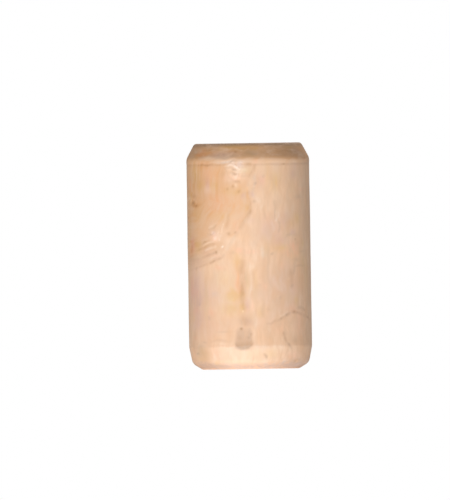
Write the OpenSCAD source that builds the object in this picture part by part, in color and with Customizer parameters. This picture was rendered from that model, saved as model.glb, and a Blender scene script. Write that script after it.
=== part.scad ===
// Bottle stopper moulded in one piece from soft foamed plastic, in the shape of a cork.
// The origin is the centre of the foot face and Z is the stopper's axis.
// The front, with the gate scar and the flow lines of the melt, faces -Y.

/* [Stopper] */
// Diameter of the straight wall
wall_d = 22.5; // [18:0.5:30]
// Overall length, from the foot face to the head face
stopper_l = 41.4; // [34:0.2:60]

/* [Ends] */
// Height at which the wall starts to draw in towards the foot
foot_taper_h = 4.1; // [3:0.1:7]
// How far this taper runs in from the wall
foot_taper_in = 0.6; // [0.2:0.05:0.9]
// Height of the bevel below the taper
foot_bevel_h = 1.1; // [0.8:0.1:2.5]
// How far the foot face is in from the wall
foot_bevel_in = 2.4; // [1.5:0.1:4]
// Height of the bevel at the head
head_bevel_h = 2.8; // [2:0.1:6]
// How far the head face is in from the wall
head_bevel_in = 1.5; // [1:0.1:4]
// Radius of the soft shoulders at both ends of the wall
shoulder_r = 1.8; // [1:0.1:4]
// Radius of the belly between taper and foot bevel
belly_r = 1.6; // [1:0.1:3]
// Radius of the rims round both end faces
rim_r = 0.8; // [0.3:0.1:1.2]

/* [Parting ring] */
// Drop of the mould's parting ring below the head bevel
ring_drop = 1.1; // [0.8:0.1:4]
// Width of the ring's groove
ring_w = 0.45; // [0.3:0.05:1]
// Depth of the ring's groove
ring_depth = 0.1; // [0.06:0.01:0.3]

/* [Flow lines] */
// Width of the weld line and of the creases
crease_w = 0.5; // [0.3:0.05:1]
// Depth of the weld line and of the creases
crease_depth = 0.16; // [0.1:0.02:0.4]
// Width of the flow ripples
ripple_w = 0.8; // [0.4:0.05:1.2]
// Depth of the flow ripples
ripple_depth = 0.18; // [0.1:0.02:0.4]
// Width of the furrow that rises from the gate
furrow_w = 1.1; // [0.5:0.1:2]
// Depth of the furrow that rises from the gate
furrow_depth = 0.12; // [0.08:0.02:0.3]

/* [Gate scar] */
// Angle of the gate scar round from the front, in degrees
scar_turn = -6; // [-90:1:90]
// Width of the scar at its top
scar_top_w = 2.9; // [2:0.1:6]
// Width of the scar at its lower lip
scar_lip_w = 3.6; // [2:0.1:6]
// Height of the scar above its lip
scar_h = 3.1; // [2:0.1:8]
// How far the lip sags below its two ends
scar_lip_sag = 0.9; // [0.2:0.1:1.2]
// Depth of the trimmed face at its top
scar_top_depth = 0.1; // [0.05:0.01:0.3]
// Depth of the trimmed face at its lip
scar_lip_depth = 0.3; // [0.1:0.05:0.6]

/* [Pits] */
// Radius of the gas pits
pit_r = 0.4; // [0.3:0.05:0.8]
// Depth of the gas pits
pit_depth = 0.16; // [0.1:0.02:0.3]
// Width of the dirty nick in the wall
nick_w = 1.4; // [0.8:0.1:2]
// Depth of the nick
nick_depth = 0.35; // [0.1:0.05:0.6]

/* [Hidden] */

wall_r = wall_d / 2;
foot_wall_z = foot_taper_h;
head_wall_z = stopper_l - head_bevel_h;
wall_h = head_wall_z - foot_wall_z;
ring_z = head_wall_z - ring_drop;
skin_tone = [0.93, 0.77, 0.63];
proud = 0.6;
arc_steps = 96;

// Places on the skin are [degrees round from the front, share of the wall's height].
weld_line = [[5, 0.965], [6, 0.944], [3, 0.914], [1, 0.884], [0, 0.833], [1.5, 0.788],
             [2.5, 0.736], [-0.5, 0.696], [-5, 0.66], [-9, 0.625], [-16.5, 0.569], [-24.5, 0.498]];
ripples = [[[-23.5, 0.498], [-27.5, 0.476], [-38.5, 0.453], [-51.5, 0.433], [-72, 0.414], [-98, 0.406]],
           [[-31.5, 0.515], [-36.5, 0.501], [-49.5, 0.482], [-69, 0.468], [-86, 0.463]],
           [[-32.5, 0.556], [-39.5, 0.545], [-51.5, 0.526], [-68.5, 0.511], [-80, 0.509]],
           [[-34.5, 0.592], [-39.5, 0.575], [-44.5, 0.561], [-50.5, 0.554]]];
furrow = [[-9, 0.483], [-6, 0.411], [-7, 0.3], [-5.5, 0.198], [-6.5, 0.099]];
side_creases = [[[14.5, 0.119], [19.5, 0.123], [31, 0.15], [41, 0.178], [49, 0.182], [60, 0.164], [82, 0.137]],
                [[33, 0.081], [35, 0.047], [40, 0.005], [45, -0.018]],
                [[12.5, -0.028], [13.5, -0.043], [15.5, -0.062]]];
wrinkles = [[[-19.5, 0.976], [-14.5, 0.989], [-9.5, 0.991]],
            [[-21.5, 0.958], [-14.5, 0.952], [-8.5, 0.931]],
            [[-16.5, 0.936], [-12.5, 0.924], [-9.5, 0.921]],
            [[-17.5, 0.906], [-12.5, 0.889], [-7.5, 0.881]]];
pits = [[-15, 0.851], [-20, 0.837], [-8.5, 0.826], [-19, 0.599], [-13, 0.608], [-33, 0.509],
        [-47.5, 0.553], [4.5, 0.767], [-60, 0.413]];
nick = [[-69, 0.782], [-63, 0.771], [-57, 0.761]];

function unit(v) = v / norm(v);

// Half of the section from the axis outwards, with sharp corners, and the radius of each corner
sharp_outline = [[0, 0], [wall_r - foot_bevel_in, 0], [wall_r - foot_taper_in, foot_bevel_h],
                 [wall_r, foot_wall_z], [wall_r, head_wall_z],
                 [wall_r - head_bevel_in, stopper_l], [0, stopper_l]];
corner_r = [0, rim_r, belly_r, shoulder_r, shoulder_r, rim_r, 0];
soft_corners = [1 : 5];

// Unit vectors from a corner back to the one before it and on to the next
function way_back(i) = unit(sharp_outline[i - 1] - sharp_outline[i]);
function way_on(i) = unit(sharp_outline[i + 1] - sharp_outline[i]);
function half_angle(i) = acos(way_back(i) * way_on(i)) / 2;
function corner_centre(i) =
    sharp_outline[i] + unit(way_back(i) + way_on(i)) * corner_r[i] / sin(half_angle(i));
function corner_chord(i) =
    let (reach = corner_r[i] / tan(half_angle(i)))
    [sharp_outline[i] + reach * way_back(i), sharp_outline[i] + reach * way_on(i)];

// Radius of the skin at a height, on the wall and on what lies beyond it at both ends
skin_table = [for (i = soft_corners) [sharp_outline[i].y, sharp_outline[i].x]];
function skin_r(z) = lookup(z, skin_table);
function outwards(angle) = [sin(angle), -cos(angle), 0];
function skin_point(place) =
    let (z = foot_wall_z + place.y * wall_h)
    skin_r(z) * outwards(place.x) + [0, 0, z];

// A smooth curve through a route's places, where t counts the places passed
function along(route, t) =
    let (last = len(route) - 1,
         i = min(floor(t), last - 1),
         f = t - i,
         a = route[max(i - 1, 0)],
         b = route[i],
         c = route[i + 1],
         d = route[min(i + 2, last)])
    b + f / 2 * (c - a + f * (2 * a - 5 * b + 4 * c - d + f * (3 * (b - c) + d - a)));

crease_steps = 3;
section_angles = [30 : 60 : 330];
section_n = 6;
end_size = 0.2;

// A crease is widest and deepest at its middle and fades out towards both ends
function fade(share) = max(end_size, sqrt(sin(180 * share)));

// One ring of the tool that cuts a crease, a hexagon with one corner at the bottom
function crease_ring(route, t, width, depth) =
    let (last = len(route) - 1,
         size = fade(t / last),
         here = skin_point(along(route, t)),
         ahead = skin_point(along(route, min(t + 0.1, last))),
         behind = skin_point(along(route, max(t - 0.1, 0))),
         out = outwards(along(route, t).x),
         across = unit(cross(ahead - behind, out)))
    [for (a = section_angles) here + size * (width / 2 * cos(a) * across + depth * sin(a) * out)];

module crease(route, width = crease_w, depth = crease_depth) {
    last = len(route) - 1;
    ring_count = last * crease_steps + 1;
    rings = [for (k = [0 : ring_count - 1]) each crease_ring(route, k / crease_steps, width, depth)];
    sides = [for (k = [0 : ring_count - 2], s = [0 : section_n - 1])
             let (near = k * section_n, far = near + section_n, t = (s + 1) % section_n)
             [near + s, near + t, far + t, far + s]];
    first_cap = [for (s = [section_n - 1 : -1 : 0]) s];
    last_cap = [for (s = [0 : section_n - 1]) (ring_count - 1) * section_n + s];
    polyhedron(rings, concat(sides, [first_cap, last_cap]));
}

module half_section() {
    polygon(concat([sharp_outline[0]],
                   [for (i = soft_corners) each corner_chord(i)],
                   [sharp_outline[6]]));
    for (i = soft_corners)
        translate(corner_centre(i)) circle(r = corner_r[i], $fn = arc_steps);
}

module moulded_body() {
    rotate_extrude($fn = 2 * arc_steps) half_section();
}

// A round-bottomed groove, from a circle that dips into the wall
module parting_ring() {
    dip_r = (ring_w * ring_w / 4 + ring_depth * ring_depth) / (2 * ring_depth);
    rotate_extrude($fn = 2 * arc_steps)
        translate([wall_r - ring_depth + dip_r, ring_z])
        circle(r = dip_r, $fn = arc_steps);
}

// Front view of the scar, with the two ends of its lip at height 0
module scar_outline() {
    lip_r = (scar_lip_w * scar_lip_w / 4 + scar_lip_sag * scar_lip_sag) / (2 * scar_lip_sag);
    flare = (scar_lip_w - scar_top_w) / 2 / scar_h * scar_lip_sag;
    intersection() {
        polygon([[-scar_lip_w / 2 - flare, -scar_lip_sag], [scar_lip_w / 2 + flare, -scar_lip_sag],
                 [scar_top_w / 2, scar_h], [-scar_top_w / 2, scar_h]]);
        union() {
            translate([0, lip_r - scar_lip_sag]) circle(r = lip_r, $fn = arc_steps);
            translate([-scar_lip_w, 0]) square([2 * scar_lip_w, 2 * scar_h]);
        }
    }
}

// The trimmed face follows the curve of the wall and leans in towards the lip
module gate_scar() {
    scar_z = foot_wall_z + scar_lip_sag / 2;
    low_z = scar_z - 2 * scar_lip_sag;
    high_z = scar_z + 2 * scar_h;
    lean = (scar_lip_depth - scar_top_depth) / scar_h;
    lip_floor_r = wall_r - scar_lip_depth;
    intersection() {
        rotate([0, 0, scar_turn])
            translate([0, 0, scar_z])
            rotate([90, 0, 0])
            linear_extrude(height = wall_r + proud)
            scar_outline();
        rotate_extrude($fn = 2 * arc_steps)
            polygon([[lip_floor_r - lean * (scar_z - low_z), low_z], [wall_r + 2 * proud, low_z],
                     [wall_r + 2 * proud, high_z], [lip_floor_r + lean * (high_z - scar_z), high_z]]);
    }
}

module flow_lines() {
    crease(weld_line);
    crease(furrow, furrow_w, furrow_depth);
    for (route = ripples) crease(route, ripple_w, ripple_depth);
    for (route = side_creases) crease(route);
    for (route = wrinkles) crease(route);
}

module pits_and_nick() {
    for (place = pits)
        translate(skin_point(place) + (pit_r - pit_depth) * outwards(place.x))
            sphere(r = pit_r, $fn = 32);
    crease(nick, nick_w, nick_depth);
}

module stopper() {
    color(skin_tone)
    difference() {
        moulded_body();
        parting_ring();
        gate_scar();
        flow_lines();
        pits_and_nick();
    }
}

stopper();
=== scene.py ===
# %% [markdown]
# A synthetic cork is a bottle stopper moulded in one shot from foamed plastic. The melt enters at a
# gate low on one side, jets up the mould, folds over itself and freezes, and those folds are what
# the eye reads as cork. So this lesson makes one plain revolved skin and spends its effort on what
# the melt left behind: weld line, ripples, creases, trimmed gate, pits and a marbled colour.
#
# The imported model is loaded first. Everything below is in its frame, and Blender works in metres.

# %% Load the frame
import math

import bpy
import numpy as np
from mathutils import Matrix, Vector, noise


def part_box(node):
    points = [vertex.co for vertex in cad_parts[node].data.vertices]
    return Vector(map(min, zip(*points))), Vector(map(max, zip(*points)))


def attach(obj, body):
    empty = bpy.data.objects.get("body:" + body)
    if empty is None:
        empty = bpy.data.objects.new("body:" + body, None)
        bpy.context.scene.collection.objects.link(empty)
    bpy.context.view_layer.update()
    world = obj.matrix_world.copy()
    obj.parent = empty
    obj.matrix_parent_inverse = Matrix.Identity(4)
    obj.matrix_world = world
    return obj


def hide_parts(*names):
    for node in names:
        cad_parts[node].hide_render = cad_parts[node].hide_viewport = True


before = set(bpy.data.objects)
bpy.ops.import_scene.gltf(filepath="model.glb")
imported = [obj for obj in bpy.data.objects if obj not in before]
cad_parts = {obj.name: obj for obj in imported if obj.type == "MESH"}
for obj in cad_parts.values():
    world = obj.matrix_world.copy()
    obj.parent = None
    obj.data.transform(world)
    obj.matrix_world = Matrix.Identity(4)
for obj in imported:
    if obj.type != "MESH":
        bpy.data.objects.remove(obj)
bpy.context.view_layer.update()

# %% [markdown]
# The real stopper is a straight wall with a bevel at the head. At the foot it first draws in very
# gently and then turns under in a rounder bevel, which helps it into the bottle. Wall and length
# are read from the frame. The smaller sizes are repeated here in millimetres, because relief of a
# few hundredths of a millimetre is easier to judge in that unit.

# %% Sizes of the stopper
MM = 0.001
low_corner, high_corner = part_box("stopper")
WALL_R = (high_corner[0] - low_corner[0]) / 2 / MM
LENGTH = (high_corner[2] - low_corner[2]) / MM
FOOT_TAPER_H, FOOT_TAPER_IN = 4.1, 0.6
FOOT_BEVEL_H, FOOT_BEVEL_IN = 1.1, 2.4
HEAD_BEVEL_H, HEAD_BEVEL_IN = 2.8, 1.5
SHOULDER_R, BELLY_R, RIM_R = 1.8, 1.6, 0.8
RING_DROP = 1.1
FOOT_WALL_Z = FOOT_TAPER_H
HEAD_WALL_Z = LENGTH - HEAD_BEVEL_H
WALL_H = HEAD_WALL_Z - FOOT_WALL_Z
RING_Z = HEAD_WALL_Z - RING_DROP
print(f"wall radius {WALL_R:.2f} mm, length {LENGTH:.2f} mm, wall height {WALL_H:.2f} mm")

# %% [markdown]
# The stopper is round, so half its section says it all. A Bevel modifier could soften a spun
# cylinder, but the five corners need three different radii, so they are drawn as true arcs. The light
# that runs round a moulded edge is what tells soft plastic from turned wood. The outline is then
# walked in even steps, so that all the facets of the skin come out about the same size.

# %% Half section with soft corners
def unit(v):
    return v / np.linalg.norm(v)


def soft_outline(corners, radii, arc_steps=12):
    points = [corners[0]]
    for before, here, after, radius in zip(corners, corners[1:], corners[2:], radii):
        back, on = unit(before - here), unit(after - here)
        half = math.acos(back @ on) / 2
        reach = radius / math.tan(half)
        start, end = here + reach * back, here + reach * on
        centre = here + unit(back + on) * radius / math.sin(half)
        for k in range(arc_steps + 1):
            chord = start + (end - start) * k / arc_steps
            points.append(centre + unit(chord - centre) * radius)
    points.append(corners[-1])
    return np.array(points)


def even_steps(points, spacing):
    legs = np.linalg.norm(np.diff(points, axis=0), axis=1)
    reached = np.concatenate([[0], np.cumsum(legs)])
    stops = np.linspace(0, reached[-1], int(round(reached[-1] / spacing)) + 1)
    return np.column_stack([np.interp(stops, reached, points[:, k]) for k in (0, 1)])


corners = np.array([
    (0, 0), (WALL_R - FOOT_BEVEL_IN, 0), (WALL_R - FOOT_TAPER_IN, FOOT_BEVEL_H),
    (WALL_R, FOOT_WALL_Z), (WALL_R, HEAD_WALL_Z), (WALL_R - HEAD_BEVEL_IN, LENGTH), (0, LENGTH),
])
outline = soft_outline(corners, [RIM_R, BELLY_R, SHOULDER_R, SHOULDER_R, RIM_R])
FACE_MARGIN = 0.5
FACE_R = WALL_R - FOOT_BEVEL_IN - FACE_MARGIN
FACE_STEP, SKIN_STEP = 0.7, 0.208
foot_ring = np.array([(r, 0.0) for r in np.arange(FACE_STEP, FACE_R, FACE_STEP)])
head_ring = np.array([(r, LENGTH) for r in foot_ring[::-1, 0]])
outside = np.vstack([[(FACE_R, 0.0)], outline[1:-1], [(FACE_R, LENGTH)]])
section = np.vstack([foot_ring, even_steps(outside, SKIN_STEP), head_ring])
print(f"{len(section)} rings from foot to head")

# %% [markdown]
# A Screw modifier would spin this section into a skin, but evenly, and without telling where each
# point is. So the rings are laid out in numpy. Each gets the same number of points, packed closer at
# the front, where the flow marks are, than at the plain back. Every point also gets its address on
# the skin: degrees and millimetres round from the front, its height, and its share of the wall's
# height, which runs from 0 at the foot's taper to 1 at the head's bevel.

# %% Points of the skin
COLUMNS = 392
FRONT_CROWDING = 0.3
even = np.linspace(-math.pi, math.pi, COLUMNS, endpoint=False)
turn = even - FRONT_CROWDING * np.sin(even)
ring_r = np.repeat(section[:, 0], COLUMNS)
height = np.repeat(section[:, 1], COLUMNS)
point_turn = np.tile(turn, len(section))
degrees = np.degrees(point_turn)
around = WALL_R * point_turn
share_up = (height - FOOT_WALL_Z) / WALL_H
slope = np.gradient(section, axis=0)
slope /= np.linalg.norm(slope, axis=1)[:, None]
out_r = np.repeat(slope[:, 1], COLUMNS)
out_z = np.repeat(-slope[:, 0], COLUMNS)
RIM_FADE = 1.1
on_side = np.clip((ring_r - FACE_R) / RIM_FADE, 0, 1)
print(f"{len(around)} points, {2 * COLUMNS * len(section)} triangles")

# %% [markdown]
# Folds in the melt froze as fine lines. They could be carved by hand in Sculpt Mode, but a list of
# places can be read, checked and moved later. So each mark is a route. A place on it is a turn round
# from the front in degrees and a share of the wall's height, and a smooth curve runs through them.

# %% Routes of the flow marks
WELD_LINE = [(5, 0.965), (6, 0.944), (3, 0.914), (1, 0.884), (0, 0.833), (1.5, 0.788), (2.5, 0.736),
             (-0.5, 0.696), (-5, 0.66), (-9, 0.625), (-16.5, 0.569), (-24.5, 0.498)]
RIPPLES = [[(-23.5, 0.498), (-27.5, 0.476), (-38.5, 0.453), (-51.5, 0.433), (-72, 0.414), (-98, 0.406)],
           [(-31.5, 0.515), (-36.5, 0.501), (-49.5, 0.482), (-69, 0.468), (-86, 0.463)],
           [(-32.5, 0.556), (-39.5, 0.545), (-51.5, 0.526), (-68.5, 0.511), (-80, 0.509)],
           [(-34.5, 0.592), (-39.5, 0.575), (-44.5, 0.561), (-50.5, 0.554)]]
FURROW = [(-9, 0.483), (-6, 0.411), (-7, 0.3), (-5.5, 0.198), (-6.5, 0.099)]
SIDE_CREASES = [[(14.5, 0.119), (19.5, 0.123), (31, 0.15), (41, 0.178), (49, 0.182), (60, 0.164),
                 (82, 0.137)],
                [(33, 0.081), (35, 0.047), (40, 0.005), (45, -0.018)],
                [(12.5, -0.028), (13.5, -0.043), (15.5, -0.062)]]
WRINKLES = [[(-19.5, 0.976), (-14.5, 0.989), (-9.5, 0.991)],
            [(-21.5, 0.958), (-14.5, 0.952), (-8.5, 0.931)],
            [(-16.5, 0.936), (-12.5, 0.924), (-9.5, 0.921)],
            [(-17.5, 0.906), (-12.5, 0.889), (-7.5, 0.881)]]
PITS = [(-15, 0.851), (-20, 0.837), (-8.5, 0.826), (-19, 0.599), (-13, 0.608), (-33, 0.509),
        (-47.5, 0.553), (4.5, 0.767), (-60, 0.413), (6.5, 0.867), (-1.5, 0.048), (-8, 0.091),
        (1, 0.066), (-5.5, 0.199)]
NICK = [(-69, 0.782), (-63, 0.771), (-57, 0.761)]


def on_skin(place):
    """Millimetres round from the front and up, for a place in degrees and share of the wall."""
    return np.array([WALL_R * math.radians(place[0]), FOOT_WALL_Z + place[1] * WALL_H])


def smooth(route, steps=6):
    """A Catmull-Rom curve through the places of a route, on the unrolled skin."""
    p = np.array([on_skin(place) for place in route])
    p = np.vstack([p[0], p, p[-1]])
    curve = []
    for a, b, c, d in zip(p, p[1:], p[2:], p[3:]):
        for f in np.arange(steps) / steps:
            curve.append(b + f / 2 * (c - a + f * (2 * a - 5 * b + 4 * c - d + f * (3 * (b - c) + d - a))))
    return np.array(curve + [p[-1]])


print("routes:", 1 + len(RIPPLES) + 1 + len(SIDE_CREASES) + len(WRINKLES), "pits:", len(PITS))

# %% [markdown]
# To press a mark into the skin, each point has to know how far it is from the route, on which side,
# and how far along. Geometry Nodes can measure the distance to a curve, but the step beside the weld
# line needs the side as well. Only points near a route are asked, which keeps plain numpy quick.

# %% Distance from a route
FAR = 99.0
REACH = 4.0


def from_route(route, x, z, reach=REACH):
    """For points at x round and z up: distance in mm, side (+1 on the left) and share along."""
    line = smooth(route)
    low, high = line.min(axis=0) - reach, line.max(axis=0) + reach
    near = np.flatnonzero((on_side > 0) & (x > low[0]) & (x < high[0]) & (z > low[1]) & (z < high[1]))
    gap, side, share = (np.full(len(x), value) for value in (FAR, 1.0, 0.0))
    here = np.column_stack([x[near], z[near]])
    best, best_side, best_share = (np.full(len(near), value) for value in (FAR, 1.0, 0.0))
    for k, (start, end) in enumerate(zip(line, line[1:])):
        leg = end - start
        t = np.clip((here - start) @ leg / (leg @ leg), 0, 1)
        off = here - start - t[:, None] * leg
        d = np.hypot(off[:, 0], off[:, 1])
        closer = d < best
        best[closer] = d[closer]
        best_side[closer] = np.sign(leg[0] * off[closer, 1] - leg[1] * off[closer, 0])
        best_share[closer] = (k + t[closer]) / (len(line) - 1)
    gap[near], side[near], share[near] = best, best_side, best_share
    return gap, side, share


print(f"a mark reaches {REACH:.0f} mm at most, and farther points read {FAR:.0f}")

# %% [markdown]
# Melt doesn't flow along a ruler. Noise on the finished mesh would dent everything alike. Instead two
# slow noises shift the address of each point by a fraction of a millimetre, and every route is read
# through that shift, so that its mark wanders and breathes while the stopper stays round.

# %% A gentle drift
def drift(seed, size, amount):
    """A smooth noise over the skin, in mm, from the points' own places in space."""
    xs, ys, zs = ring_r * np.sin(point_turn) / size, -ring_r * np.cos(point_turn) / size, height / size
    return amount * np.array([noise.noise(Vector((x, y, z + seed))) for x, y, z in zip(xs, ys, zs)])


DRIFT_SIZE, DRIFT = 1.7, 0.3
drift_x = around + drift(seed=10, size=DRIFT_SIZE, amount=DRIFT)
drift_z = height + drift(seed=20, size=DRIFT_SIZE, amount=DRIFT)
print(f"marks wander by up to {np.abs(drift_x - around).max():.2f} mm")

# %% [markdown]
# Relief and colour are gathered side by side: each mark moves the skin in or out, and leaves its
# tint in a mask, a number of about 0 to 1 for every point, which the material reads later. Masks on
# the points need no unwrapping, as an image would. A crease is a soft groove with a low lip along
# both sides and a darker tone painted inside. All of it is shallow. On the real piece a fingernail
# hardly feels these lines, and deeper ones look carved.

# %% Masks and the crease tool
relief = np.zeros(len(around))
masks = {}


def leave(tint, amount):
    """Adds an amount of a tint where it is stronger than what is there already."""
    mask = masks.setdefault(tint, np.zeros(len(around)))
    np.maximum(mask, amount, out=mask)


def bell(distance, half_width):
    """1 at no distance, falling softly to nothing at about two half widths."""
    return np.exp(-(distance / half_width) ** 2)


def fade(share):
    """1 along the middle of a route, easing to nothing at both ends."""
    return np.sqrt(np.sin(np.pi * np.clip(share, 0, 1)))


WANDER = 0.35
crease_x = around + WANDER * (drift_x - around)
crease_z = height + WANDER * (drift_z - height)
lumps = 1 + drift(seed=70, size=0.8, amount=1.3)
# How far out the lips lie, and how wide lips, step and darkening are, in widths of the groove.
LIP_OUT, LIP_WIDE, STEP_WIDE, STEP_HOLLOW, DARKENING_WIDE = 0.9, 0.5, 1.6, 0.3, 0.6


def press_crease(route, width, depth, lip=0.0, step=0.0, hollow_darkening=0.0, strengths=(1, 1)):
    """Sinks a groove, raises lips beside it and a step to its left, and paints it darker.

    The strengths are spread evenly along the route, for a mark that comes and goes.
    """
    gap, side, share = from_route(route, crease_x, crease_z)
    strength = fade(share) * np.interp(share, np.linspace(0, 1, len(strengths)), strengths)
    strength = strength * np.clip(lumps, 0.1, 2)
    relief[:] -= depth * strength * bell(gap, width / 2)
    relief[:] += lip * strength * bell(gap - LIP_OUT * width, LIP_WIDE * width)
    beside = bell(gap, STEP_WIDE * width) * (1 - bell(gap, STEP_HOLLOW * width))
    relief[:] += step * strength * side * beside
    leave("hollow_darkening", hollow_darkening * strength * bell(gap, DARKENING_WIDE * width))


print(f"creases follow {WANDER:.0%} of the drift")

# %% [markdown]
# The weld line is where the jet met the melt that came round the other way. The side creases are
# short folds of the same kind, low on the right. One tool presses them all, and the strengths let
# each one come and go along its length, because an even groove would look ruled.

# %% Press the weld line and the creases
SIDE_W, SIDE_DEPTH = 0.5, 0.03
press_crease(WELD_LINE, width=0.7, depth=0.022, step=0.012, hollow_darkening=0.2,
             strengths=(0.6, 0.5, 0.8, 1, 0.7, 0.3, 0.1))
press_crease(SIDE_CREASES[0], SIDE_W, SIDE_DEPTH, lip=0.015, hollow_darkening=0.4, strengths=(0.5, 1, 0.9, 1, 0.7))
press_crease(SIDE_CREASES[1], SIDE_W, SIDE_DEPTH, hollow_darkening=0.3, strengths=(0.6, 1, 0.8))
press_crease(SIDE_CREASES[2], SIDE_W, SIDE_DEPTH, hollow_darkening=0.35)
print(f"relief so far {relief.min():.3f} to {relief.max():.3f} mm")

# %% [markdown]
# On the left the jet folded over itself like honey on a plate. Four nested ripples remain, and the
# raised lips beside them catch the light. A Wave texture would make them all alike, so each keeps its
# own route, depth and fading.

# %% Press the ripples
RIPPLE_W = 0.45
# The third column sets how much darker each groove is painted.
RIPPLE_LOOKS = [  # depth, lip, dirt and strengths
    (0.024, 0.015, 0.36, (1, 0.9, 0.8, 0.5, 0.3, 0.2)),
    (0.016, 0.02, 0.26, (1, 0.6, 0.5, 0.3, 0.2)),
    (0.017, 0.02, 0.26, (0.7, 1, 0.6, 0.3, 0.2)),
    (0.012, 0.015, 0.15, (0.2, 0.4, 1, 0.8)),
]
for route, (depth, lip, hollow_darkening, strengths) in zip(RIPPLES, RIPPLE_LOOKS):
    press_crease(route, RIPPLE_W, depth, lip=lip, hollow_darkening=hollow_darkening, strengths=strengths)
print(f"relief so far {relief.min():.3f} to {relief.max():.3f} mm")

# %% [markdown]
# Where the jet hit the head of the mould it crumpled. A few short wrinkles lie there, and a sharp
# pale crest. Far below them a wide, very shallow furrow rises from the gate. In a few places the skin
# is faintly crumpled as well. Noise all over it would look like rough casting, so it is kept to
# soft-edged spots.

# %% Wrinkles and furrow
CREST = [(-14.5, 0.962), (-11.5, 0.957), (-8.5, 0.947), (-6, 0.94)]
CREST_W, CREST_H = 0.17, 0.04
CRUMPLED = [  # place, half width, half height and depth
    ((-13, 0.955), 1.9, 1.6, 0.035), ((-30, 0.6), 1.7, 1.9, 0.02), ((-13, 0.88), 1.5, 1.0, 0.015),
    ((-38, 0.52), 2.2, 1.3, 0.015), ((0, 0.48), 1.6, 1.4, 0.007),
]


def spot(place, wide, high, x, z):
    """1 at a place on the skin, fading out over a half width and a half height in mm."""
    middle_x, middle_z = on_skin(place)
    return np.exp(-((x - middle_x) / wide) ** 2 - ((z - middle_z) / high) ** 2)


for route in WRINKLES:
    press_crease(route, width=0.45, depth=0.03, lip=0.015, hollow_darkening=0.2)
crest_gap, _, crest_share = from_route(CREST, crease_x, crease_z)
relief += CREST_H * fade(crest_share) * bell(crest_gap, CREST_W)
press_crease(FURROW, width=1.4, depth=0.02)
crumple = drift(seed=80, size=0.42, amount=2)
for place, wide, high, depth in CRUMPLED:
    relief += depth * (crumple * spot(place, wide, high, around, height)) * on_side
print(f"relief so far {relief.min():.3f} to {relief.max():.3f} mm")

# %% [markdown]
# Two parts of the mould met in a ring just below the head bevel. It left a hair-fine groove with a
# slightly proud band above it. Two more corners in the section would do it, but too crisply. A soft
# dip that follows a little of the drift looks moulded.

# %% The parting ring
RING_WANDER, RING_W, RING_DEPTH = 0.25, 0.2, 0.02
BAND_UP, BAND_W, BAND_H = 0.5, 0.35, 0.006
ring_gap = height - RING_Z + RING_WANDER * (drift_z - height)
relief -= RING_DEPTH * bell(ring_gap, RING_W) * on_side
relief += BAND_H * bell(ring_gap - BAND_UP, BAND_W) * on_side
# The ring groove is painted a little darker too.
leave("hollow_darkening", 0.3 * bell(ring_gap, RING_W + 0.02) * on_side)
print(f"ring {RING_Z:.1f} mm up, {RING_DEPTH} mm deep")

# %% [markdown]
# The gate was trimmed with a knife. What is left is a shallow, greyer patch, wider at its curved lip,
# which leans in towards the foot. A Boolean cut would leave a hard rim all round. Here soft ramps for
# the sides, the top and the lip multiply into one mask. A softer set of the same ramps stains the
# skin, most at the lip, where a little brown lies too.

# %% The gate scar
SCAR_TURN, SCAR_TOP_W, SCAR_LIP_W, SCAR_H, SCAR_SAG = -6, 2.9, 3.6, 3.1, 0.9
SCAR_TOP_DEPTH, SCAR_LIP_DEPTH = 0.02, 0.1
scar_x = crease_x - WALL_R * math.radians(SCAR_TURN)
scar_z = crease_z - (FOOT_WALL_Z + SCAR_SAG / 2)
scar_half = SCAR_LIP_W / 2 + (SCAR_TOP_W - SCAR_LIP_W) / 2 * scar_z / SCAR_H
lip_z = -SCAR_SAG * (1 - (scar_x / (SCAR_LIP_W / 2)) ** 2)


def ramp(value, soft):
    """0 well below zero, 1 well above, and smooth between over a width of soft."""
    t = np.clip(value / soft + 0.5, 0, 1)
    return t * t * (3 - 2 * t)


def scar_shape(inset, side_soft, top_soft, lip_soft):
    """1 inside the scar and 0 outside, with edges as soft in mm as asked."""
    sides = ramp(scar_half - inset - np.abs(scar_x), side_soft)
    return sides * ramp(SCAR_H - inset - scar_z, top_soft) * ramp(scar_z - lip_z, lip_soft) * on_side


scar = scar_shape(inset=0, side_soft=0.4, top_soft=1.4, lip_soft=0.4)
scar_depth = SCAR_LIP_DEPTH + (SCAR_TOP_DEPTH - SCAR_LIP_DEPTH) * np.clip(scar_z / SCAR_H, 0, 1)
relief -= scar * scar_depth
stain = scar_shape(inset=0.1, side_soft=1, top_soft=2, lip_soft=0.5)
leave("taupe", stain * np.clip(1.2 - 0.4 * scar_z / SCAR_H, 0, 1.2))
leave("ash", 0.3 * stain)
leave("brown", 0.4 * stain * ramp(0.4 - scar_z, 1.2))
print(f"scar covers {int((scar > 0.5).sum())} points")

# %% [markdown]
# Gas that escaped at the last moment left pinhead pits, each a single soft dip painted a little
# darker. Something once bruised the wall high on the left. It is pressed in here and browned with the
# patches below.

# %% Pits and the browned nick
PIT_R, PIT_DEPTH, PIT_DARKENING = 0.25, 0.02, 0.28
for place in PITS:
    x, z = on_skin(place)
    pit = bell(np.hypot(crease_x - x, crease_z - z), PIT_R) * on_side
    relief -= PIT_DEPTH * pit
    leave("hollow_darkening", PIT_DARKENING * pit)
press_crease(NICK, width=1.1, depth=0.08)
print(f"relief so far {relief.min():.3f} to {relief.max():.3f} mm")

# %% [markdown]
# Foamed plastic never fills a mould quite evenly. A slow swell of a few hundredths of a millimetre,
# longer up the stopper than across it, keeps the wall from looking turned on a lathe. A bump map
# would leave the outline dead straight, so this is relief too.

# %% Slow swell of the wall
SWELL = 0.03
PER_MM_ACROSS, PER_MM_UP = 0.25, 0.1


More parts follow.
